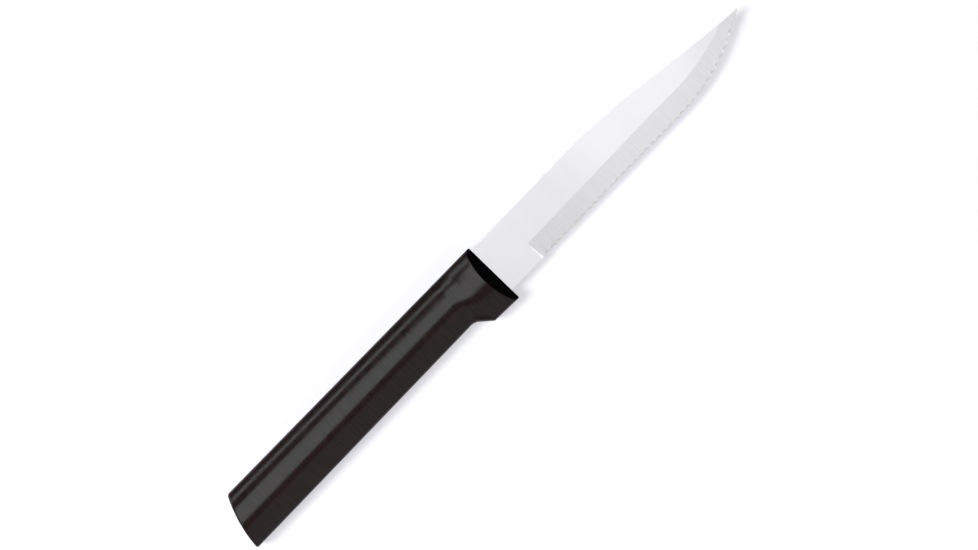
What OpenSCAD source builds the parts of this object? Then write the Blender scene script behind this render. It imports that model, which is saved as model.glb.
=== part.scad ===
// Steak knife with a moulded handle, lying on its side as on a table.
// X runs from the butt to the tip, Y from the cutting edge to the spine, Z across the blade's flats.
// The origin is under the middle of the whole knife, on the table.

/* [Handle] */
// Length of the handle, from its butt to its front
handle_len = 98.7; // [92:0.1:112]
// Thickness of the handle, from side to side
handle_t = 12; // [10.5:0.1:14]
// Thickness of the handle's back and belly, where its crowned sides end
handle_edge_t = 5.4; // [5:0.1:7]
// Radius that rounds the handle's back and belly
handle_edge_r = 1.5; // [1:0.1:2.4]
// Height of the grip at the butt
butt_h = 16.1; // [14.5:0.1:18]
// Height of the grip at its waist, just behind the guard
waist_h = 15.35; // [14.5:0.05:17]

/* [Butt] */
// Radius of the butt's end, seen from the side
butt_r = 64; // [30:0.1:80]
// Distance of that radius's centre below the grip's centre line, which slants the butt
butt_centre_drop = 17.8; // [9:0.1:22]
// Rounding of the butt's rim
butt_rim_r = 0.7; // [0.3:0.1:1.2]

/* [Guard] */
// Length of the guard's underside, from its shoulder to the front
guard_len = 9.2; // [7:0.1:12]
// Length of the slope between the grip and the guard
guard_slope_len = 4.2; // [3.5:0.1:7]
// Depth of the guard's shoulder below the grip
guard_drop = 3.75; // [2.5:0.05:4.5]
// Further depth of the guard at its front
guard_flare = 0.35; // [0.1:0.05:0.8]
// Radius of the hollow where the grip turns into the slope
guard_hollow_r = 3.2; // [1.5:0.1:4]
// Radius of the guard's shoulder
guard_shoulder_r = 0.6; // [0.3:0.1:1.5]
// Setback of the slanting front faces at the crown of the handle's sides
front_setback = 3.4; // [2:0.1:5]
// Thickness of the blunt line where the slanting front faces end
front_line_t = 1.7; // [1.5:0.1:2.4]
// Rounding of the back where it meets the front
front_corner_r = 0.5; // [0.2:0.1:1]

/* [Blade] */
// Length of the blade outside the handle
blade_len = 98.3; // [94:0.1:115]
// Height of the blade, from spine to edge
blade_h = 15.6; // [13.5:0.1:16]
// Thickness of the blade, between its polished flats
blade_t = 1.3; // [1:0.1:1.4]
// Depth polished off each flat in front of the handle, which the tang keeps
polish_depth = 0.05; // [0.02:0.01:0.05]
// Step from the handle's back down to the spine
spine_step = 0.95; // [0.6:0.05:1.8]
// Length of the straight part of the spine outside the handle
spine_straight = 37; // [25:0.5:50]
// Drop of the point below the straight spine
point_drop = 6.15; // [4.5:0.05:8]

/* [Edge] */
// Length of the curved end of the edge, up to the point
belly_len = 31; // [24:0.5:40]
// Width of the ground bevel at its start, by the handle
bevel_heel_w = 5.8; // [4.5:0.05:7]
// Width of the ground bevel where the edge starts to curve
bevel_w = 6.15; // [4.5:0.05:7]
// Width of the ground bevel at the point
bevel_tip_w = 3.1; // [2.5:0.05:4]
// Thickness left at the edge
edge_t = 0.2; // [0.15:0.05:0.35]
// Unground length of blade between the handle and the bevel
ricasso_len = 12; // [9:0.1:15]
// Run of the shoulder that ends the bevel
plunge_run = 0.6; // [0.2:0.05:0.8]

/* [Serrations] */
// Distance from one serration to the next, along the blade
tooth_pitch = 2.3; // [2.1:0.01:3]
// Distance from the bevel's start to the middle of the first serration
tooth_start = 2.2; // [1.6:0.05:3]
// Shortest distance from the middle of the last serration to the point
tooth_end = 4.6; // [4:0.1:10]
// Radius of each serration
tooth_r = 1.5; // [1.2:0.05:1.7]
// Depth of each serration
tooth_depth = 0.45; // [0.2:0.05:0.6]
// Lean of the grinding wheel that cuts the serrations from the upper side
tooth_lean = 52; // [30:1:58]

/* [Tang] */
// Length of the blade's full height hidden in the handle
heel_len = 4; // [2:0.1:6]
// Length of the tang in the handle
tang_len = 62; // [45:1:80]
// Height of the tang
tang_h = 9.4; // [7:0.1:10.5]
// Chamfer of the tang's corners
tang_chamfer = 2; // [0.5:0.1:3]
// Diameter of the two locking holes in the tang
tang_hole_d = 5; // [3:0.1:6]

/* [Hidden] */

// Cuts run past what they cut by this much
over = 1;
// A quarter turn, in degrees
quarter = 90;
// Steps along the blade's curves, along each fillet, across each side and round each rounded edge
curve_steps = 22;
fillet_steps = 5;
side_steps = 18;
corner_steps = 6;
rim_steps = 4;
$fn = 48;

// Places of the tang's holes, as shares of its length
tang_hole_shares = [0.34, 0.82];
// Pull of the spine's and the edge's curves near the point, as shares of their drop or rise
spine_pull_share = 0.77;
belly_pull_share = 0.3;
// Reach of the bevel's cut past the point, as a share of the belly's length
past_point_share = 0.06;

// Heights of the outline from the grip's centre line
half_t = handle_t / 2;
waist_x = -(guard_len + guard_slope_len);
taper = (butt_h - waist_h) / 2 / (handle_len + waist_x);
shoulder_y = -(waist_h / 2 + guard_drop);
guard_y = shoulder_y - guard_flare;
function back_y(x) = waist_h / 2 + taper * (waist_x - x);
front_back_y = back_y(0);
front_half_h = (front_back_y - guard_y) / 2;

spine_y = front_back_y - spine_step;
edge_y = spine_y - blade_h;
point_y = spine_y - point_drop;
belly_x = blade_len - belly_len;
belly_rise = point_y - edge_y;

// Middle of the whole knife, which the origin stands under
mid_x = (blade_len - handle_len) / 2;
mid_y = (butt_h / 2 + guard_y) / 2;

// Cubic ease with a level start; its end is steeper where the pull is less
function ease(u, pull) = 3 * (1 - u) * u * u * pull + u * u * u;
function ease_slope(u, pull) = 3 * pull * (2 * u - 3 * u * u) + 3 * u * u;

// Points of an arc of radius r that rounds the corner at q between p and s
function unit(v) = v / norm(v);
function fillet(p, q, s, r) =
    let (a = unit(p - q), b = unit(s - q), half = acos(a * b) / 2,
         c = q + unit(a + b) * r / sin(half),
         from = q + a * r / tan(half) - c, to = q + b * r / tan(half) - c,
         turn = atan2(from.x * to.y - from.y * to.x, from * to))
    [for (i = [0 : fillet_steps])
        let (w = turn * i / fillet_steps)
        c + [from.x * cos(w) - from.y * sin(w), from.x * sin(w) + from.y * cos(w)]];

// Section of the handle at its front: crowned sides and rounded back and belly.
// The crown's arc has radius side_r; the rounding's centre is round_z from the middle plane.
crown = half_t - handle_edge_t / 2;
side_r = (front_half_h * front_half_h + crown * crown) / 2 / crown;
round_y = front_half_h - handle_edge_r;
round_z = sqrt(pow(side_r - handle_edge_r, 2) - round_y * round_y) - (side_r - half_t);
round_turn = atan2(round_y, round_z + side_r - half_t);

// Upper half of that section, from belly to back, then mirrored for the lower half
back_round = [for (i = [0 : corner_steps])
    let (w = round_turn + (quarter - round_turn) * i / corner_steps)
    [round_y + handle_edge_r * sin(w), round_z + handle_edge_r * cos(w)]];
side_arc = [for (i = [1 : side_steps - 1])
    let (w = round_turn * (2 * i / side_steps - 1))
    [side_r * sin(w), side_r * cos(w) - (side_r - half_t)]];
function mirrored(list, my, mz) =
    [for (i = [len(list) - 1 : -1 : 0]) [list[i][0] * my, list[i][1] * mz]];
upper_half = concat(mirrored(back_round, -1, 1), side_arc, back_round);
section = concat(upper_half, mirrored(upper_half, 1, -1));
half_count = len(upper_half);
ring_count = len(section);

// Place of a section point on a station, with the section stretched to the station's height
function placed(x, back, under, inset, p) =
    let (half_h = (back - under) / 2)
    [x, (back + under) / 2 + (half_h - inset) * p.x / front_half_h, (half_t - inset) * p.y / half_t];

// The butt's end, an arc whose lowest point ends the handle
butt_centre_x = sqrt(pow(butt_r, 2) - pow(butt_centre_drop - butt_h / 2 + butt_rim_r, 2)) - handle_len;
function butt_x(y) = butt_centre_x - sqrt(pow(butt_r, 2) - pow(y + butt_centre_drop, 2));
butt_rings = [for (i = [0 : rim_steps])
    let (w = quarter * i / rim_steps, inset = butt_rim_r * (1 - sin(w)), run = butt_rim_r * (1 - cos(w)))
    [for (p = section)
        let (q = placed(0, butt_h / 2, -butt_h / 2, inset, p))
        [butt_x(q.y) + run, q.y, q.z]]];

// Stations along the underside, from the grip over the guard's shoulder to the front
grip_under = [butt_centre_x, -back_y(butt_centre_x)];
slope_top = [waist_x, -waist_h / 2];
shoulder = [-guard_len, shoulder_y];
guard_front = [0, guard_y];
under_points = concat(fillet(grip_under, slope_top, shoulder, guard_hollow_r),
    fillet(slope_top, shoulder, guard_front, guard_shoulder_r));
guard_rings = [for (s = under_points) [for (p = section) placed(s.x, back_y(s.x), s.y, 0, p)]];

// Stations round the corner between the back and the front
front_rings = [for (i = [0 : fillet_steps])
    let (w = quarter * i / fillet_steps, x = front_corner_r * (sin(w) - 1),
         back = back_y(x) - front_corner_r * (1 - cos(w)), under = guard_y - guard_flare * x / guard_len)
    [for (p = section) placed(x, back, under, 0, p)]];

// Outlines of the steel: the spine and belly that curve to the point, and the tang behind the heel
spine_curve = [for (i = [0 : curve_steps])
    let (u = i / curve_steps)
    [spine_straight + (blade_len - spine_straight) * u, spine_y - point_drop * ease(u, spine_pull_share)]];
belly_curve = [for (i = [curve_steps - 1 : -1 : 0])
    let (u = i / curve_steps) belly_point(u)];
function belly_point(u) = [belly_x + belly_len * u, edge_y + belly_rise * ease(u, belly_pull_share)];
function belly_slope(u) = belly_rise / belly_len * ease_slope(u, belly_pull_share);
blade_outline = concat(spine_curve, belly_curve, [[-heel_len, edge_y], [-heel_len, spine_y]]);
tang_outline = [[0, spine_y], [0, edge_y], [-heel_len, edge_y], [-heel_len, -tang_h / 2],
    [tang_chamfer - tang_len, -tang_h / 2], [-tang_len, tang_chamfer - tang_h / 2],
    [-tang_len, tang_h / 2 - tang_chamfer], [tang_chamfer - tang_len, tang_h / 2],
    [-heel_len, tang_h / 2], [-heel_len, spine_y]];
tang_t = blade_t + polish_depth * 2;

// Stations across the upper bevel: at each, the grind line's and the edge's points on the surface,
// run out past both by the overrun, and the same two points above the steel
plunge_lean = plunge_run / (blade_t - edge_t) * 2;
bevel_fall = (blade_t - edge_t) / 2;
function bevel_w_at(u) = bevel_w - (bevel_w - bevel_tip_w) * (u + u * u) / 2;
function bevel_line(foot, normal, w) =
    let (inner = foot + normal * (w + over), outer = foot - normal * over,
         rise = bevel_fall / w, top = blade_t / 2 + over)
    [[inner.x, inner.y, blade_t / 2 + rise * over], [outer.x, outer.y, edge_t / 2 - rise * over],
     [outer.x, outer.y, top], [inner.x, inner.y, top]];
plunge_line = [for (p = bevel_line([0, edge_y], [0, 1], bevel_heel_w))
    [ricasso_len + plunge_lean * (blade_t / 2 - p.z), p.y, p.z]];
belly_lines = [for (i = [0 : curve_steps + 1])
    let (u = i <= curve_steps ? i / curve_steps : 1 + past_point_share, slope = belly_slope(u))
    bevel_line(belly_point(u), unit([-slope, 1]), bevel_w_at(min(u, 1)))];
bevel_rings = concat([plunge_line], belly_lines);

// Serrations, as many as fit between the bevel's start and the point
tooth_first_x = ricasso_len + tooth_start;
tooth_last_x = blade_len - tooth_end;
tooth_drop = tooth_r / cos(tooth_lean) - tooth_depth;
function along_belly(x) = max(0, x - belly_x) / belly_len;

// Solid through rings of points; its ends are given as faces of the first and the last ring
module skin(rings, first_faces, last_faces) {
    n = len(rings[0]);
    last = (len(rings) - 1) * n;
    sides = [for (i = [0 : len(rings) - 2], j = [0 : n - 1])
        let (a = i * n + j, b = i * n + (j + 1) % n)
        each [[a, b, b + n], [a, b + n, a + n]]];
    polyhedron([for (r = rings) each r],
        concat(sides, first_faces, [for (f = last_faces) [for (k = f) last + k]]));
}

// What is cut away above one of the two flat faces that slant back from the front's blunt line
module front_cut() {
    lean = front_setback / (half_t - front_line_t / 2);
    top = half_t + over;
    translate([0, (front_back_y + guard_y) / 2, 0])
        rotate([quarter, 0, 0])
            linear_extrude((front_half_h + over) * 2, center = true)
                polygon([[over, front_line_t / 2 - over / lean], [over, top],
                         [-lean * (top - front_line_t / 2), top]]);
}

module handle_body() {
    // Strips across the curved butt, and the front as one flat face
    butt_faces = [for (j = [0 : half_count - 2])
        [j, ring_count - 1 - j, ring_count - 2 - j, j + 1]];
    front_face = [for (j = [0 : ring_count - 1]) j];
    difference() {
        skin(concat(butt_rings, guard_rings, front_rings), butt_faces, [front_face]);
        front_cut();
        mirror([0, 0, 1]) front_cut();
    }
}

// The steel before its edge is ground, which is also the space that the handle is moulded round
module steel() {
    linear_extrude(blade_t, center = true)
        polygon(blade_outline);
    linear_extrude(tang_t, center = true)
        difference() {
            polygon(tang_outline);
            for (s = tang_hole_shares)
                translate([-tang_len * s, 0])
                    circle(d = tang_hole_d);
        }
}

module bevel_cut() {
    skin(bevel_rings, [[3, 2, 1, 0]], [[0, 1, 2, 3]]);
}

module tooth_cut(x) {
    u = along_belly(x);
    at = [x, edge_y + belly_rise * ease(u, belly_pull_share), -edge_t / 2];
    // Half the wheel's length, which takes its slanting ends clear of the steel
    reach = (tooth_r * sin(tooth_lean) + over) / cos(tooth_lean);
    translate(at)
        rotate([0, 0, atan(belly_slope(u))])
            translate([0, -tooth_drop, 0])
                rotate([-tooth_lean, 0, 0])
                    cylinder(h = reach * 2, r = tooth_r, center = true);
}

module blade() {
    color("gainsboro")
        translate([-mid_x, -mid_y, half_t])
            difference() {
                steel();
                bevel_cut();
                mirror([0, 0, 1]) bevel_cut();
                for (x = [tooth_first_x : tooth_pitch : tooth_last_x])
                    tooth_cut(x);
            }
}

module handle() {
    color("#2b2727")
        translate([-mid_x, -mid_y, half_t])
            difference() {
                handle_body();
                steel();
            }
}

blade();
handle();
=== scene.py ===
"""Steak knife with a serrated blade and a black moulded handle, lying on a white table."""
import math

import bmesh
import bpy
from bpy.props import FloatProperty, FloatVectorProperty, IntProperty, PointerProperty
from mathutils import Matrix, Vector


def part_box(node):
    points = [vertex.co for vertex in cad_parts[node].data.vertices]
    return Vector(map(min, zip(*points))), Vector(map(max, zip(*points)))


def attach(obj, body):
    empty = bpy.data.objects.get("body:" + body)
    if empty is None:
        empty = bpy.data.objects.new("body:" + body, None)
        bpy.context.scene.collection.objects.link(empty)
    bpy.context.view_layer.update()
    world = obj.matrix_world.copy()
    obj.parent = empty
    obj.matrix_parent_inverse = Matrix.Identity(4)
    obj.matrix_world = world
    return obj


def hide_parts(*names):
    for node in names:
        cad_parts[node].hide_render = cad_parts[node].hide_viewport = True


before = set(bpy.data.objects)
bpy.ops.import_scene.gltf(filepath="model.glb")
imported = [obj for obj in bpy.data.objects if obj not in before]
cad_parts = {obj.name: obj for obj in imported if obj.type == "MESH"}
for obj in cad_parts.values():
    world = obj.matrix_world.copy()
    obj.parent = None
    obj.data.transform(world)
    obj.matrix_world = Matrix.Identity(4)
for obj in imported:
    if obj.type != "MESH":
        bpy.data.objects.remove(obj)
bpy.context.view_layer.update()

bl_info = {
    "name": "Steak knife",
    "version": (1, 0, 0),
    "blender": (4, 5, 0),
    "location": "View3D > Sidebar > Knife",
    "description": "Makes a serrated steak knife with a moulded handle, and its stage",
    "category": "Add Mesh",
}

MM = 0.001
HANDLE_LOW, HANDLE_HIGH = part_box("handle")
BLADE_LOW, BLADE_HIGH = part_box("blade")
# Points closer than this are one point
WELD = 0.001 * MM
# Cuts run past what they cut by this much
OVER = 1 * MM
# The butt's rounded rim bulges past the butt's foot by a little less than this
RIM_BULGE = 0.0015 * MM
# Steps of each rounded edge
BEVEL_SEGMENTS = 3
# Edges that turn by more than this stay sharp
BLADE_SHARP, HANDLE_SHARP = math.radians(10), math.radians(30)
# Stretches of the blade where painted sheen brightens its colour and, near the point, dulls it
# again
PAINTED_SHEEN_RISE = (28 * MM, 46 * MM)
PAINTED_SHEEN_FALL = (72 * MM, 88 * MM)
# Stretch over which painted sheen brightens the ground steel's colour
PAINTED_GROUND_SHEEN = (14 * MM, 50 * MM)


def from_hex(code):
    """Linear colour of an sRGB hex value."""
    parts = [int(code[i:i + 2], 16) / 255 for i in (1, 3, 5)]
    return [p / 12.92 if p <= 0.04045 else ((p + 0.055) / 1.055) ** 2.4 for p in parts]


def size(name, description, millimetres):
    """A length that a user can change, in metres."""
    return FloatProperty(name=name, description=description, default=millimetres * MM,
                         min=0, subtype="DISTANCE", unit="LENGTH")


def angle(name, description, degrees):
    """An angle that a user can change."""
    return FloatProperty(name=name, description=description, default=math.radians(degrees),
                         subtype="ANGLE", unit="ROTATION")


def colour(name, description, code):
    """A colour that a user can change, given as sRGB hex."""
    return FloatVectorProperty(name=name, description=description, default=from_hex(code),
                               size=3, min=0, max=1, subtype="COLOR")


def level(name, description, value):
    """A brightness that a user can change, where 1 is white."""
    return FloatProperty(name=name, description=description, default=value, min=0)


class HandleSettings(bpy.types.PropertyGroup):
    """Sizes and colours of the moulded handle"""
    butt_height: size("Butt height", "Height of the grip at the butt", 16.1)
    waist_height: size("Waist height", "Height of the grip just behind the guard", 15.35)
    edge_thickness: size("Edge thickness", "Thickness where the crowned sides end", 5.4)
    edge_radius: size("Edge radius", "Rounding of the back and belly", 1.5)
    butt_radius: size("Butt radius", "Radius of the butt's end, seen from the side", 64)
    butt_centre_drop: size("Butt slant", "Depth of that arc's centre below the grip's middle", 17.8)
    rim_radius: size("Rim radius", "Rounding of the butt's rim", 0.7)
    guard_length: size("Guard length", "Length of the guard's underside", 9.2)
    slope_length: size("Slope length", "Length of the slope between grip and guard", 4.2)
    guard_drop: size("Guard drop", "Depth of the guard's shoulder below the grip", 3.75)
    guard_flare: size("Guard flare", "Further depth of the guard at its front", 0.35)
    hollow_radius: size("Hollow radius", "Radius where the grip turns into the slope", 3.2)
    shoulder_radius: size("Shoulder radius", "Radius of the guard's shoulder", 0.6)
    front_setback: size("Front setback", "Setback of the slanting front faces at the crown", 3.4)
    front_line: size("Front line", "Thickness of the blunt line where the front faces end", 1.7)
    front_edge: size("Front edge", "Rounding of the front faces' edges", 0.35)
    resin: colour("Resin", "Colour of the moulded resin", "#261818")
    # Near black: painted shade on the slanting front faces
    front: colour("Front faces", "Colour of the matt front faces", "#040303")


class BladeSettings(bpy.types.PropertyGroup):
    """Sizes and colours of the steel blade"""
    thickness: size("Thickness", "Thickness between the blade's flats", 1.3)
    height: size("Height", "Height from spine to edge", 15.6)
    spine_step: size("Spine step", "Step from the handle's back down to the spine", 0.95)
    spine_straight: size("Straight spine", "Length of the straight part of the spine", 37)
    point_drop: size("Point drop", "Drop of the point below the straight spine", 6.15)
    spine_rounding: size("Spine rounding", "Rounding of the spine's edges", 0.12)
    belly_length: size("Belly length", "Length of the curved end of the edge", 31)
    bevel_heel_width: size("Bevel heel width", "Width of the ground bevel at its start", 5.8)
    bevel_width: size("Bevel width", "Width of the bevel where the edge starts to curve", 6.15)
    bevel_tip_width: size("Bevel tip width", "Width of the ground bevel at the point", 3.1)
    edge_thickness: size("Edge thickness", "Thickness left at the edge", 0.2)
    ricasso: size("Ricasso", "Unground length in front of the handle", 12)
    plunge_run: size("Plunge run", "Run of the shoulder that ends the bevel", 0.6)
    tooth_pitch: size("Tooth pitch", "Distance from one serration to the next", 2.3)
    tooth_start: size("Tooth start", "Distance from the bevel's start to the first serration", 2.2)
    tooth_radius: size("Tooth radius", "Radius of each serration", 1.5)
    tooth_depth: size("Tooth depth", "Depth of each serration", 0.45)
    tooth_lean: angle("Tooth lean", "Lean of the wheel that grinds the serrations", 52)
    tooth_count: IntProperty(name="Teeth", description="Number of serrations", default=35, min=1)
    heel: size("Heel", "Length of the blade's full height in the handle", 4)
    tang_length: size("Tang length", "Length of the tang in the handle", 62)
    tang_height: size("Tang height", "Height of the tang", 9.4)
    tang_chamfer: size("Tang chamfer", "Chamfer of the tang's corners", 2)
    tang_hole: size("Tang holes", "Diameter of the tang's two locking holes", 5)
    flat: colour("Flat", "Colour of the satin flats", "#DFDFE3")
    bevel: colour("Bevel", "Colour of the ground bevel", "#EBEBEE")
    # Lighter than the bevel's steel: a painted highlight on the serrations' facets
    teeth: colour("Serrations", "Colour of the ground serrations", "#FCFCFF")


class StageSettings(bpy.types.PropertyGroup):
    """Camera, lamps and table"""
    lens: FloatProperty(name="Lens", description="Focal length in millimetres", default=135)
    distance: size("Camera distance", "Height of the camera above the blade's flats", 1002)
    turn: angle("Camera turn", "Turn of the camera about its axis, which slants the knife", -45.9)
    key: level("Key", "Brightness of the small lamp that casts the shadow", 17.4)
    softbox: level("Softbox", "Brightness of the softbox above, which the gloss shows", 2.22)
    fill: level("Fill", "Brightness of the panel on the edge's side", 0.42)
    strip: level("Strip", "Brightness of the low strip on the spine's side", 2.5)
    side: level("Side", "Brightness of the panel beyond the point", 9)
    world: level("World", "Brightness of the room", 0.12)
    table: colour("Table", "Colour of the table", "#E1E1E3")


def new_piece(name, bm, materials):
    """Makes an object of a bmesh, with its materials, and frees the bmesh."""
    bmesh.ops.recalc_face_normals(bm, faces=bm.faces)
    mesh = bpy.data.meshes.new(name)
    bm.to_mesh(mesh)
    bm.free()
    piece = bpy.data.objects.new(name, mesh)
    bpy.context.scene.collection.objects.link(piece)
    for material in materials:
        mesh.materials.append(material)
    return piece


def cut(piece, cutter):
    """Takes the cutter out of the piece, leaves its material on the cut, and removes the cutter."""
    modifier = piece.modifiers.new("Cut", "BOOLEAN")
    modifier.operation = "DIFFERENCE"
    modifier.solver = "MANIFOLD"
    modifier.material_mode = "TRANSFER"
    modifier.object = cutter
    with bpy.context.temp_override(object=piece):
        bpy.ops.object.modifier_apply(modifier=modifier.name)
    bpy.data.objects.remove(cutter)


def shade(piece, limit):
    """Smooths all but the edges that turn by more than the limit or lie between two finishes."""
    bm = bmesh.new()
    bm.from_mesh(piece.data)
    for face in bm.faces:
        face.smooth = True
    for edge in bm.edges:
        faces = edge.link_faces
        one_finish = len({face.material_index for face in faces}) == 1
        edge.smooth = one_finish and edge.calc_face_angle(0) < limit
    bm.to_mesh(piece.data)
    bm.free()


def add_point(bm, place):
    """Adds a point to a bmesh."""
    return bmesh.ops.create_vert(bm, co=place)["vert"][0]


def add_face(bm, corners):
    """Adds a face to a bmesh and returns its points, in the order of the corners, and the face."""
    verts = [add_point(bm, corner) for corner in corners]
    return verts, bmesh.ops.contextual_create(bm, geom=verts)["faces"][0]


def add_rod(bm, radius, length, segments, matrix):
    """Adds a capped cylinder to a bmesh."""
    bmesh.ops.create_cone(bm, cap_ends=True, segments=segments, radius1=radius, radius2=radius,
                          depth=length, matrix=matrix)


def extrude_ring(bm, edges):
    """Extrudes a ring of edges in place and returns the new ring's points and edges."""
    made = bmesh.ops.extrude_edge_only(bm, edges=edges)["geom"]
    verts = [g for g in made if isinstance(g, bmesh.types.BMVert)]
    ends = set(verts)
    ring = [g for g in made if isinstance(g, bmesh.types.BMEdge) and ends.issuperset(g.verts)]
    return verts, ring


def bevel(bm, edges, radius):
    """Rounds edges with a circular bevel."""
    bmesh.ops.bevel(bm, geom=edges, offset=radius, offset_type="OFFSET",
                    segments=BEVEL_SEGMENTS, profile=0.5, affect="EDGES", material=-1,
                    clamp_overlap=True)


# Materials

# Sockets of a Mix node that mixes colours, as its names stand for more than one
FACTOR, COLOUR_A, COLOUR_B, MIXED = 0, 6, 7, 2


def add_node(tree, kind, inputs=None, **settings):
    """Adds a node with its settings; each input is given a value or linked to a socket."""
    made = tree.nodes.new("ShaderNode" + kind)
    for name, value in settings.items():
        setattr(made, name, value)
    for name, value in (inputs or {}).items():
        if isinstance(value, bpy.types.NodeSocket):
            tree.links.new(value, made.inputs[name])
        else:
            made.inputs[name].default_value = value
    return made


def new_material(name):
    """A material with an empty node tree."""
    material = bpy.data.materials.new(name)
    material.use_nodes = True
    material.node_tree.nodes.clear()
    return material, material.node_tree


def streaks(tree, grain, detail):
    """Noise stretched along the grain: its size is given in metres along X, Y and Z."""
    place = add_node(tree, "TexCoord").outputs["Object"]
    scale = [1 / length for length in grain]
    stretched = add_node(tree, "Mapping", {"Vector": place, "Scale": scale}).outputs["Vector"]
    noise = add_node(tree, "TexNoise", {"Vector": stretched, "Scale": 1, "Detail": detail})
    return noise.outputs["Fac"]


def shades(tone, spread):
    """A darker and a lighter shade of a tone."""
    return [[min(c * share, 1) for c in tone] + [1] for share in (1 - spread, 1 + spread)]


def moulded_resin(tone):
    """Black moulded resin, brushed across the handle: soft gloss with fine lines round the grip."""
    material, tree = new_material("black moulded resin, brushed")
    lines = streaks(tree, (0.5 * MM, 9 * MM, 9 * MM), detail=3)
    patches = streaks(tree, (2.2 * MM, 14 * MM, 14 * MM), detail=2)
    dark, light = shades(tone, spread=0.7)
    base = add_node(tree, "Mix", {FACTOR: lines, COLOUR_A: dark, COLOUR_B: light}, data_type="RGBA")
    gloss = add_node(tree, "MapRange", {"Value": patches, "To Min": 0.08, "To Max": 0.26})
    relief = add_node(tree, "Bump", {"Strength": 0.5, "Distance": 0.05 * MM, "Height": lines})
    shader = add_node(tree, "BsdfPrincipled", {
        "Base Color": base.outputs[MIXED],
        "Roughness": gloss.outputs["Result"],
        "Specular IOR Level": 0.33,
        "Specular Tint": [*from_hex("#F2FFFF"), 1],
        "Normal": relief.outputs["Normal"],
    })
    add_node(tree, "OutputMaterial", {"Surface": shader.outputs["BSDF"]})
    return material


def painted_shade_resin(tone):
    """The same resin as it leaves the mould, not brushed: dull, with a faint spark grain; its near
    black is painted shade.
    """
    material, tree = new_material("black moulded resin, matt")
    grain = streaks(tree, (0.4 * MM, 0.4 * MM, 0.4 * MM), detail=3)
    dark, light = shades(tone, spread=0.5)
    base = add_node(tree, "Mix", {FACTOR: grain, COLOUR_A: dark, COLOUR_B: light}, data_type="RGBA")
    relief = add_node(tree, "Bump", {"Strength": 0.2, "Distance": 0.02 * MM, "Height": grain})
    shader = add_node(tree, "BsdfPrincipled", {
        "Base Color": base.outputs[MIXED],
        "Roughness": 0.75,
        "Specular IOR Level": 0.01,
        "Normal": relief.outputs["Normal"],
    })
    add_node(tree, "OutputMaterial", {"Surface": shader.outputs["BSDF"]})
    return material


def toward_point(tree, stretch):
    """Rises from 0 to 1 over a stretch of the blade, toward the point."""
    place = add_node(tree, "TexCoord").outputs["Object"]
    along = add_node(tree, "SeparateXYZ", {"Vector": place}).outputs["X"]
    start, end = stretch
    return add_node(tree, "MapRange", {"Value": along, "From Min": start, "From Max": end},
                    interpolation_type="SMOOTHSTEP").outputs["Result"]


def satin_steel(tone):
    """Stainless steel with a fine satin from glass-bead blasting; painted sheen makes it brighter
    at its middle.
    """
    material, tree = new_material("stainless steel, satin")
    haze = streaks(tree, (1.5 * MM, 30 * MM, 30 * MM), detail=3)
    dark, light = shades(tone, spread=0.045)
    # Painted sheen: lighter colour along the blade's middle, duller again near the point
    rise, fall = toward_point(tree, PAINTED_SHEEN_RISE), toward_point(tree, PAINTED_SHEEN_FALL)
    middle = add_node(tree, "Math", {0: rise, 1: fall}, operation="SUBTRACT").outputs["Value"]
    base = add_node(tree, "Mix", {FACTOR: middle, COLOUR_A: dark, COLOUR_B: light},
                    data_type="RGBA")
    gloss = add_node(tree, "MapRange", {"Value": haze, "To Min": 0.48, "To Max": 0.56})
    shader = add_node(tree, "BsdfPrincipled", {
        "Base Color": base.outputs[MIXED],
        "Metallic": 1,
        "Roughness": gloss.outputs["Result"],
    })
    add_node(tree, "OutputMaterial", {"Surface": shader.outputs["BSDF"]})
    return material


def ground_steel(name, tone, grain, roughness):
    """Stainless steel with the fine lines of a grinding wheel; painted sheen makes it brighter
    toward the point.
    """
    material, tree = new_material(name)
    lines = streaks(tree, grain, detail=3)
    dark, light = shades(tone, spread=0.08)
    lined = add_node(tree, "Mix", {FACTOR: lines, COLOUR_A: dark, COLOUR_B: light},
                     data_type="RGBA")
    # Painted sheen: a grey that turns lighter toward the point
    dull, full = shades((0.965, 0.965, 0.965), spread=0.045)
    turn = toward_point(tree, PAINTED_GROUND_SHEEN)
    tint = add_node(tree, "Mix", {FACTOR: turn, COLOUR_A: dull, COLOUR_B: full}, data_type="RGBA")
    base = add_node(tree, "Mix", {
        FACTOR: 1,
        COLOUR_A: lined.outputs[MIXED],
        COLOUR_B: tint.outputs[MIXED],
    }, data_type="RGBA", blend_type="MULTIPLY")
    relief = add_node(tree, "Bump", {"Strength": 0.2, "Distance": 0.01 * MM, "Height": lines})
    shader = add_node(tree, "BsdfPrincipled", {
        "Base Color": base.outputs[MIXED],
        "Metallic": 1,
        "Roughness": roughness,
        "Normal": relief.outputs["Normal"],
    })
    add_node(tree, "OutputMaterial", {"Surface": shader.outputs["BSDF"]})
    return material


# Blade

def ease(u, pull):
    """Cubic ease with a level start; its end is steeper where the pull is less."""
    return 3 * (1 - u) * u * u * pull + u ** 3


def ease_slope(u, pull):
    """Slope of that ease."""
    return 3 * pull * (2 * u - 3 * u * u) + 3 * u * u


# Pull of the curves of spine and belly
SPINE_PULL, BELLY_PULL = 0.77, 0.3
# Steps of each curve
CURVE_STEPS = 48
# How far the grinding follows the belly's curve, where the point is at 1
BELLY_PAST_POINT = 1.06
# Sides of the wheel that grinds the serrations, and of the drill
TOOTH_SEGMENTS, HOLE_SEGMENTS = 96, 48
# Places of the tang's holes, as shares of its length
TANG_HOLES = (0.34, 0.82)


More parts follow.
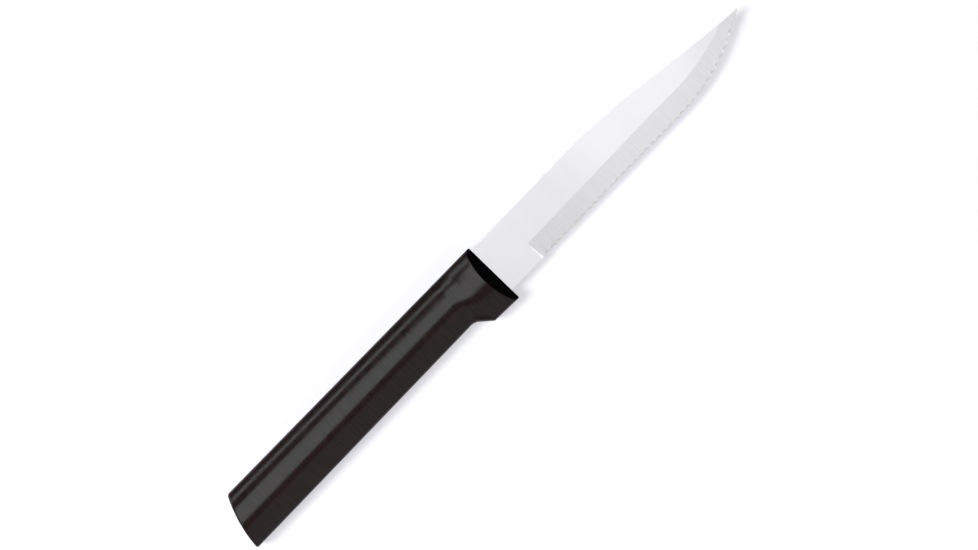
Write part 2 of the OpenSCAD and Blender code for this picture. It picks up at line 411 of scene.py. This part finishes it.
class Profile:
    """Side view of the knife, with X from the handle's front and Y from the grip's centre line."""

    def __init__(self, blade, handle):
        self.blade = blade
        self.length = BLADE_HIGH.x - HANDLE_HIGH.x
        self.handle_length = HANDLE_HIGH.x - HANDLE_LOW.x
        self.waist_x = -handle.guard_length - handle.slope_length
        grip_length = self.handle_length + self.waist_x
        self.taper = (handle.butt_height - handle.waist_height) / 2 / grip_length
        self.back = handle.waist_height / 2 + self.taper * self.waist_x
        self.spine = self.back - blade.spine_step
        self.edge = self.spine - blade.height
        self.point = self.spine - blade.point_drop
        self.belly_x = self.length - blade.belly_length
        self.rise = self.point - self.edge

    def spine_at(self, u):
        """Point of the curved spine, from its start at 0 to the point at 1."""
        start = self.blade.spine_straight
        return (start + (self.length - start) * u,
                self.spine - self.blade.point_drop * ease(u, SPINE_PULL))

    def belly_at(self, u):
        """Point of the curved edge, from its start at 0 to the point at 1."""
        return Vector((self.belly_x + self.blade.belly_length * u,
                       self.edge + self.rise * ease(u, BELLY_PULL)))

    def belly_slope(self, u):
        """Slope of the curved edge."""
        return self.rise / self.blade.belly_length * ease_slope(u, BELLY_PULL)

    def outline(self):
        """Points of the steel's outline, from the spine over the point and the edge to the tang."""
        blade = self.blade
        tang_y, chamfer = blade.tang_height / 2, blade.tang_chamfer
        steps = [i / CURVE_STEPS for i in range(CURVE_STEPS + 1)]
        return ([self.spine_at(u) for u in steps] + [tuple(self.belly_at(u)) for u in steps[-2::-1]]
                + [(-blade.heel, self.edge), (-blade.heel, -tang_y),
                   (chamfer - blade.tang_length, -tang_y), (-blade.tang_length, chamfer - tang_y),
                   (-blade.tang_length, tang_y - chamfer), (chamfer - blade.tang_length, tang_y),
                   (-blade.heel, tang_y), (-blade.heel, self.spine)])


def knife_place(handle):
    """Where the profile's zero lies in the knife's frame."""
    return Matrix.Translation((HANDLE_HIGH.x, HANDLE_HIGH.y - handle.butt_height / 2,
                               (HANDLE_LOW.z + HANDLE_HIGH.z) / 2))


def steel_blank(profile, place, material):
    """The steel before grinding: a plate with the spine eased and the tang drilled."""
    blade = profile.blade
    bm = bmesh.new()
    _, face = add_face(bm, [(x, y, -blade.thickness / 2) for x, y in profile.outline()])
    made = bmesh.ops.extrude_face_region(bm, geom=[face])["geom"]
    raised = [g for g in made if isinstance(g, bmesh.types.BMVert)]
    bmesh.ops.translate(bm, vec=(0, 0, blade.thickness), verts=raised)
    bmesh.ops.recalc_face_normals(bm, faces=bm.faces)

    def on_spine(edge):
        """Whether an edge of the plate runs along the spine outside the handle."""
        a, b = (vert.co for vert in edge.verts)
        return (min(a.y, b.y) > profile.point + WELD and min(a.x, b.x) > -blade.heel - WELD
                and max(a.x, b.x) > 0 and abs(a.z - b.z) < WELD)

    bevel(bm, [edge for edge in bm.edges if on_spine(edge)], blade.spine_rounding)
    bmesh.ops.transform(bm, matrix=place, verts=bm.verts)
    blank = new_piece("blank", bm, [material])
    drill = bmesh.new()
    for share in TANG_HOLES:
        matrix = place @ Matrix.Translation((-blade.tang_length * share, 0, 0))
        add_rod(drill, blade.tang_hole / 2, blade.thickness + OVER * 2, HOLE_SEGMENTS, matrix)
    cut(blank, new_piece("drill", drill, [material]))
    return blank


def bevel_wheel(profile, place, material):
    """What the grinding of both bevels takes away, a wedge that follows the edge on each side."""
    blade = profile.blade
    fall = (blade.thickness - blade.edge_thickness) / 2
    top = blade.thickness / 2 + OVER
    lean = blade.plunge_run / fall

    def wedge(foot, normal, width):
        """Corners of the wedge above the bevel, across the edge at its foot."""
        inner, outer = foot + normal * (width + OVER), foot - normal * OVER
        rise = fall / width
        return [Vector((*inner, blade.thickness / 2 + rise * OVER)),
                Vector((*outer, blade.edge_thickness / 2 - rise * OVER)),
                Vector((*outer, top)), Vector((*inner, top))]

    start = wedge(Vector((0, profile.edge)), Vector((0, 1)), blade.bevel_heel_width)
    for corner in start:
        corner.x = blade.ricasso + lean * (blade.thickness / 2 - corner.z)
    stations = [start]
    for i in range(CURVE_STEPS + 2):
        u = i / CURVE_STEPS if i <= CURVE_STEPS else BELLY_PAST_POINT
        # The bevel narrows faster the nearer the point is
        near = min(u, 1)
        narrowing = (blade.bevel_width - blade.bevel_tip_width) * (near + near * near) / 2
        normal = Vector((-profile.belly_slope(u), 1)).normalized()
        stations.append(wedge(profile.belly_at(u), normal, blade.bevel_width - narrowing))

    bm = bmesh.new()
    ring, face = add_face(bm, start)
    edges = face.edges[:]
    for station in stations[1:]:
        verts, edges = extrude_ring(bm, edges)
        corner_of = {}
        for vert in verts:
            old = next(e.other_vert(vert) for e in vert.link_edges if e.other_vert(vert) in ring)
            corner_of[vert] = ring.index(old)
            vert.co = station[corner_of[vert]]
        ring = sorted(verts, key=corner_of.get)
    bmesh.ops.contextual_create(bm, geom=ring)
    bmesh.ops.mirror(bm, geom=bm.verts[:] + bm.edges[:] + bm.faces[:], axis="Z", merge_dist=0)
    bmesh.ops.triangulate(bm, faces=bm.faces)
    bmesh.ops.transform(bm, matrix=place, verts=bm.verts)
    return new_piece("bevel_wheel", bm, [material])


def tooth_wheel(profile, place, material):
    """What the grinding of the serrations takes away: a leaning round wheel at each tooth."""
    blade = profile.blade
    drop = blade.tooth_radius / math.cos(blade.tooth_lean) - blade.tooth_depth
    # Half the wheel's length, which takes its slanting ends clear of the steel
    reach = (blade.tooth_radius * math.sin(blade.tooth_lean) + OVER) / math.cos(blade.tooth_lean)
    bm = bmesh.new()
    for i in range(blade.tooth_count):
        x = blade.ricasso + blade.tooth_start + i * blade.tooth_pitch
        u = max(0, x - profile.belly_x) / blade.belly_length
        y = profile.edge + profile.rise * ease(u, BELLY_PULL)
        matrix = (place @ Matrix.Translation((x, y, -blade.edge_thickness / 2))
                  @ Matrix.Rotation(math.atan(profile.belly_slope(u)), 4, "Z")
                  @ Matrix.Translation((0, -drop, 0)) @ Matrix.Rotation(-blade.tooth_lean, 4, "X"))
        add_rod(bm, blade.tooth_radius, reach * 2, TOOTH_SEGMENTS, matrix)
    return new_piece("tooth_wheel", bm, [material])


class KNIFE_OT_blade(bpy.types.Operator):
    """Makes the blade: a steel plate with its tang, two ground bevels and a row of serrations"""
    bl_idname = "knife.blade"
    bl_label = "Blade"

    def execute(self, context):
        blade, handle = context.scene.knife_blade, context.scene.knife_handle
        profile, place = Profile(blade, handle), knife_place(handle)
        flat = satin_steel(blade.flat)
        ground = ground_steel("stainless steel, ground bevel", blade.bevel,
                              grain=(0.32 * MM, 9 * MM, 9 * MM), roughness=0.62)
        # The serrations' lighter tone is a painted highlight
        toothed = ground_steel("stainless steel, ground serrations", blade.teeth,
                               grain=(3 * MM, 0.3 * MM, 3 * MM), roughness=0.5)
        piece = steel_blank(profile, place, flat)
        piece.name = piece.data.name = "knife_blade"
        cut(piece, bevel_wheel(profile, place, ground))
        cut(piece, tooth_wheel(profile, place, toothed))
        shade(piece, BLADE_SHARP)
        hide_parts("blade")
        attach(piece, "root")
        return {"FINISHED"}


# Handle

# Steps of the section's crowned side and its corner
SIDE_STEPS, CORNER_STEPS = 24, 10
# Steps of the underside's hollow and shoulder, and of the butt's rim
FILLET_STEPS, RIM_STEPS = 10, 5
# Place of the front faces' resin, whose near black is painted shade, among the handle's materials
PAINTED_SHADE_FRONT = 1


def quarter_arc(bm, start, centre, turn, steps):
    """Spins a point about a centre, across the handle, and returns the arc's last point."""
    made = bmesh.ops.spin(bm, geom=[start], cent=centre, axis=(1, 0, 0), dvec=(0, 0, 0),
                          angle=-turn, steps=steps, use_merge=False, use_normal_flip=False,
                          use_duplicate=False)
    return next(g for g in made["geom_last"] if isinstance(g, bmesh.types.BMVert))


def section_ring(bm, handle, half_height, half_thickness):
    """Edges of the handle's section: crowned sides with a rounding at the back and the belly."""
    crown = half_thickness - handle.edge_thickness / 2
    side_radius = (half_height ** 2 + crown ** 2) / 2 / crown
    sunk = side_radius - half_thickness
    round_y = half_height - handle.edge_radius
    round_z = math.sqrt((side_radius - handle.edge_radius) ** 2 - round_y ** 2) - sunk
    turn = math.atan2(round_y, round_z + sunk)
    top = add_point(bm, (0, 0, half_thickness))
    side_end = quarter_arc(bm, top, (0, 0, -sunk), turn, SIDE_STEPS)
    quarter_arc(bm, side_end, (0, round_y, round_z), math.pi / 2 - turn, CORNER_STEPS)
    bmesh.ops.mirror(bm, geom=bm.verts[:] + bm.edges[:], axis="Y", merge_dist=WELD)
    bmesh.ops.mirror(bm, geom=bm.verts[:] + bm.edges[:], axis="Z", merge_dist=0)
    bmesh.ops.remove_doubles(bm, verts=bm.verts, dist=WELD)
    for side in (1, -1):
        pair = [v for v in bm.verts if v.co.y * side > half_height - WELD]
        bmesh.ops.contextual_create(bm, geom=pair)
    return bm.edges[:]


def underside(handle, waist_x, shoulder_y, butt_x):
    """Points of the underside from front to butt, with the hollow and the shoulder rounded."""
    bm = bmesh.new()
    corners = [(0, shoulder_y - handle.guard_flare), (-handle.guard_length, shoulder_y),
               (waist_x, -handle.waist_height / 2), (butt_x, -handle.butt_height / 2)]
    verts = [add_point(bm, (x, y, 0)) for x, y in corners]
    for pair in zip(verts, verts[1:]):
        bmesh.ops.contextual_create(bm, geom=pair)
    for vert, radius in ((verts[1], handle.shoulder_radius), (verts[2], handle.hollow_radius)):
        before, after = (e.other_vert(vert).co - vert.co for e in vert.link_edges)
        turn = math.pi - before.angle(after)
        bmesh.ops.bevel(bm, geom=[vert], offset=radius * math.tan(turn / 2), offset_type="OFFSET",
                        segments=FILLET_STEPS, profile=0.5, affect="VERTICES", material=-1)
    points = sorted((tuple(v.co.xy) for v in bm.verts), reverse=True)
    bm.free()
    return points


class KNIFE_OT_handle(bpy.types.Operator):
    """Makes the moulded handle: a crowned grip with a guard, slanting front and curved butt"""
    bl_idname = "knife.handle"
    bl_label = "Handle"

    def execute(self, context):
        blade, handle = context.scene.knife_blade, context.scene.knife_handle
        profile, place = Profile(blade, handle), knife_place(handle)
        half_t = (HANDLE_HIGH.z - HANDLE_LOW.z) / 2
        shoulder_y = -handle.waist_height / 2 - handle.guard_drop
        reach = handle.butt_height / 2 - handle.rim_radius
        butt_centre = (math.sqrt(handle.butt_radius ** 2 - (handle.butt_centre_drop - reach) ** 2)
                       - profile.handle_length + RIM_BULGE)

        # The section, stretched to the handle's height at each point of the underside
        stations = [(x, profile.back - profile.taper * x, under) for x, under
                    in underside(handle, profile.waist_x, shoulder_y, -profile.handle_length)]
        bm = bmesh.new()
        rings = [section_ring(bm, handle, (stations[0][1] - stations[0][2]) / 2, half_t)]
        bmesh.ops.translate(bm, vec=(0, (stations[0][1] + stations[0][2]) / 2, 0), verts=bm.verts)
        for (x0, back0, under0), (x1, back1, under1) in zip(stations, stations[1:]):
            stretch = Matrix.Diagonal((1, (back1 - under1) / (back0 - under0), 1, 1))
            matrix = (Matrix.Translation((x1, (back1 + under1) / 2, 0)) @ stretch
                      @ Matrix.Translation((-x0, -(back0 + under0) / 2, 0)))
            verts, ring = extrude_ring(bm, rings[-1])
            bmesh.ops.transform(bm, matrix=matrix, verts=verts)
            rings.append(ring)

        # The butt's rim is rounded by insets, its end is curved, and its face is bridged across
        cap = bmesh.ops.contextual_create(bm, geom=rings[-1])["faces"][0]
        inset, lift, lifts = 0, handle.rim_radius, {}
        for step in range(1, RIM_STEPS + 1):
            turn = math.pi / 2 * step / RIM_STEPS
            deeper = handle.rim_radius * (1 - math.cos(turn))
            border = bmesh.ops.inset_region(bm, faces=[cap], thickness=deeper - inset,
                                            use_even_offset=True)["faces"]
            lifts.update({vert: lift for face in border for vert in face.verts})
            inset, lift = deeper, handle.rim_radius * (1 - math.sin(turn))
            lifts.update({vert: lift for vert in cap.verts})
        for vert, lift in lifts.items():
            along = math.sqrt(handle.butt_radius ** 2 - (vert.co.y + handle.butt_centre_drop) ** 2)
            vert.co.x = butt_centre - along + lift
        halves = [e for e in cap.edges if e.verts[0].co.z * e.verts[1].co.z > 0]
        bmesh.ops.delete(bm, geom=[cap], context="FACES_ONLY")
        bmesh.ops.bridge_loops(bm, edges=halves)

        # The front is capped, and the two slanting faces are cut and closed
        bmesh.ops.contextual_create(bm, geom=rings[0])
        bmesh.ops.recalc_face_normals(bm, faces=bm.faces)
        line = handle.front_line / 2
        for side in (1, -1):
            made = bmesh.ops.bisect_plane(bm, geom=bm.verts[:] + bm.edges[:] + bm.faces[:],
                                          dist=WELD / 10, plane_co=(0, 0, line * side),
                                          plane_no=(half_t - line, 0, handle.front_setback * side),
                                          clear_outer=True)
            rim = [g for g in made["geom_cut"] if isinstance(g, bmesh.types.BMEdge)]
            bmesh.ops.contextual_create(bm, geom=rim)

        def ahead(co):
            """Whether a point lies on the front or on one of its slanting faces."""
            slant = (half_t - line) * co.x + handle.front_setback * (abs(co.z) - line)
            return max(co.x, slant / half_t) > -WELD

        for face in bm.faces:
            if all(ahead(vert.co) for vert in face.verts):
                face.material_index = PAINTED_SHADE_FRONT
        rims = [e for e in bm.edges if any(f.material_index == PAINTED_SHADE_FRONT for f in e.link_faces)]
        bevel(bm, rims, handle.front_edge)
        bmesh.ops.transform(bm, matrix=place, verts=bm.verts)

        # The front faces get the resin painted near black, as painted shade
        brushed, matt = moulded_resin(handle.resin), painted_shade_resin(handle.front)
        piece = new_piece("knife_handle", bm, [brushed, matt])
        cut(piece, steel_blank(profile, place, brushed))
        shade(piece, HANDLE_SHARP)
        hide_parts("handle")
        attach(piece, "root")
        return {"FINISHED"}


# Stage

TABLE_RADIUS, TABLE_SEGMENTS = 3, 64
# How much light the table's lift to white adds, and its colour
LIFT, LIFT_COLOUR = 0.545, "#F8F8FF"
# The camera's place over the knife's middle, and the height of the blade over the table
CAMERA_X, CAMERA_Y = -1.195 * MM, 0.324 * MM
BLADE_LEVEL = 6 * MM
# The small key lights only what is matt, so that the shadow stays narrow. Softbox, strip and side
# are only what the gloss shows, and the fill does both.
LAMPS = {
    "key": {"place": (-0.62, 0.31, 1.3), "width": 0.38, "height": 0.62, "gloss": False},
    "softbox": {"place": (0, 0.6, 1.3), "aim": (0, 0.6, 0), "width": 2.6, "height": 1.27,
                "matt": False},
    "fill": {"place": (0, -0.95, 0.74), "width": 1.8, "height": 1.44},
    "strip": {"place": (0, 1.08, 0.64), "roll": math.radians(-27), "width": 2, "height": 0.16,
              "matt": False},
    "side": {"place": (1.4, 0, 0.3), "width": 0.6, "height": 0.4, "matt": False},
}
# A black card under the softbox's far edge, which narrows the gloss on the handle toward the guard
CARD_CORNERS = ((-0.24, 1.25), (-0.04, 0.8), (0.02, 0.66), (0.06, 1.25))
CARD_HEIGHT = 1.295


def panel_lamp(name, brightness, place, width, height, aim=(0, 0, 0), roll=0,
               matt=True, gloss=True):
    """Adds a flat lamp that faces a point; its brightness is what a mirror would show.

    It lights what is matt or shows in what is glossy, or both.
    """
    data = bpy.data.lights.new(name, "AREA")
    data.shape = "RECTANGLE"
    data.size, data.size_y = width, height
    data.energy = brightness * math.pi * width * height
    lamp = bpy.data.objects.new(name, data)
    bpy.context.scene.collection.objects.link(lamp)
    lamp.location = place
    lamp.rotation_euler = (Vector(aim) - Vector(place)).to_track_quat("-Z", "Y").to_euler()
    lamp.rotation_euler.rotate_axis("Z", roll)
    lamp.visible_camera, lamp.visible_diffuse, lamp.visible_glossy = False, matt, gloss


def table_material(tone):
    """White laminate, pressed smooth and dull. Camera and reflections see it lifted to white."""
    material, tree = new_material("white laminate")
    path = add_node(tree, "LightPath")
    seen = path.outputs["Is Camera Ray"]
    for ray in ("Is Glossy Ray", "Is Transmission Ray"):
        either = add_node(tree, "Math", {0: seen, 1: path.outputs[ray]}, operation="MAXIMUM")
        seen = either.outputs["Value"]
    # What the steel throws back into its own shadow isn't lifted
    direct = add_node(tree, "Math", {0: 1, 1: path.outputs["Diffuse Depth"]},
                      operation="SUBTRACT", use_clamp=True).outputs["Value"]
    lifted = add_node(tree, "Math", {0: seen, 1: direct}, operation="MULTIPLY").outputs["Value"]
    lift = add_node(tree, "MapRange", {"Value": lifted, "To Min": 0, "To Max": LIFT})
    surface = add_node(tree, "BsdfDiffuse", {"Color": [*tone, 1]})
    glow = add_node(tree, "Emission", {
        "Color": [*from_hex(LIFT_COLOUR), 1],
        "Strength": lift.outputs["Result"],
    })
    both = add_node(tree, "AddShader", {0: surface.outputs["BSDF"], 1: glow.outputs["Emission"]})
    add_node(tree, "OutputMaterial", {"Surface": both.outputs["Shader"]})
    return material


def card_material():
    """Matt black card, plain and smooth, as photographers hang before a softbox."""
    material, tree = new_material("black card")
    surface = add_node(tree, "BsdfDiffuse", {"Color": [*from_hex("#101010"), 1]})
    add_node(tree, "OutputMaterial", {"Surface": surface.outputs["BSDF"]})
    return material


class KNIFE_OT_stage(bpy.types.Operator):
    """Makes the table, the lamps, the room's light and the camera"""
    bl_idname = "knife.stage"
    bl_label = "Stage"

    def execute(self, context):
        scene, stage = context.scene, context.scene.knife_stage
        bm = bmesh.new()
        bmesh.ops.create_circle(bm, cap_ends=True, segments=TABLE_SEGMENTS, radius=TABLE_RADIUS)
        table = new_piece("table", bm, [table_material(stage.table)])

        for name, layout in LAMPS.items():
            panel_lamp(name, getattr(stage, name), **layout)
        bm = bmesh.new()
        add_face(bm, [(x, y, CARD_HEIGHT) for x, y in CARD_CORNERS])
        card = new_piece("card", bm, [card_material()])
        card.visible_camera = card.visible_diffuse = False

        world = bpy.data.worlds.new("room")
        world.use_nodes = True
        background = world.node_tree.nodes["Background"]
        background.inputs["Color"].default_value = (1, 1, 1, 1)
        background.inputs["Strength"].default_value = stage.world
        scene.world = world

        data = bpy.data.cameras.new("camera")
        data.lens = stage.lens
        camera = bpy.data.objects.new("camera", data)
        scene.collection.objects.link(camera)
        camera.location = (CAMERA_X, CAMERA_Y, stage.distance + BLADE_LEVEL)
        camera.rotation_euler = (0, 0, stage.turn)
        scene.camera = camera
        scene.view_settings.view_transform = "Standard"
        return {"FINISHED"}


class KNIFE_PT_panel(bpy.types.Panel):
    """Lists the knife's pieces and their settings"""
    bl_idname = "KNIFE_PT_panel"
    bl_label = "Steak knife"
    bl_space_type = "VIEW_3D"
    bl_region_type = "UI"
    bl_category = "Knife"

    def draw(self, context):
        for name, settings in SETTINGS.items():
            box = self.layout.box()
            box.operator(f"knife.{name}")
            for key in settings.__annotations__:
                box.prop(getattr(context.scene, f"knife_{name}"), key)


SETTINGS = {"blade": BladeSettings, "handle": HandleSettings, "stage": StageSettings}
CLASSES = (*SETTINGS.values(), KNIFE_OT_blade, KNIFE_OT_handle, KNIFE_OT_stage, KNIFE_PT_panel)


def register():
    """Registers the classes and gives the scene its settings."""
    for each in CLASSES:
        bpy.utils.register_class(each)
    for name, settings in SETTINGS.items():
        setattr(bpy.types.Scene, f"knife_{name}", PointerProperty(type=settings))


def unregister():
    """Takes away what register adds."""
    for name in SETTINGS:
        delattr(bpy.types.Scene, f"knife_{name}")
    for each in reversed(CLASSES):
        bpy.utils.unregister_class(each)


def main():
    """Makes the whole scene."""
    register()
    for name in SETTINGS:
        getattr(bpy.ops.knife, name)()


if __name__ == "__main__":
    main()
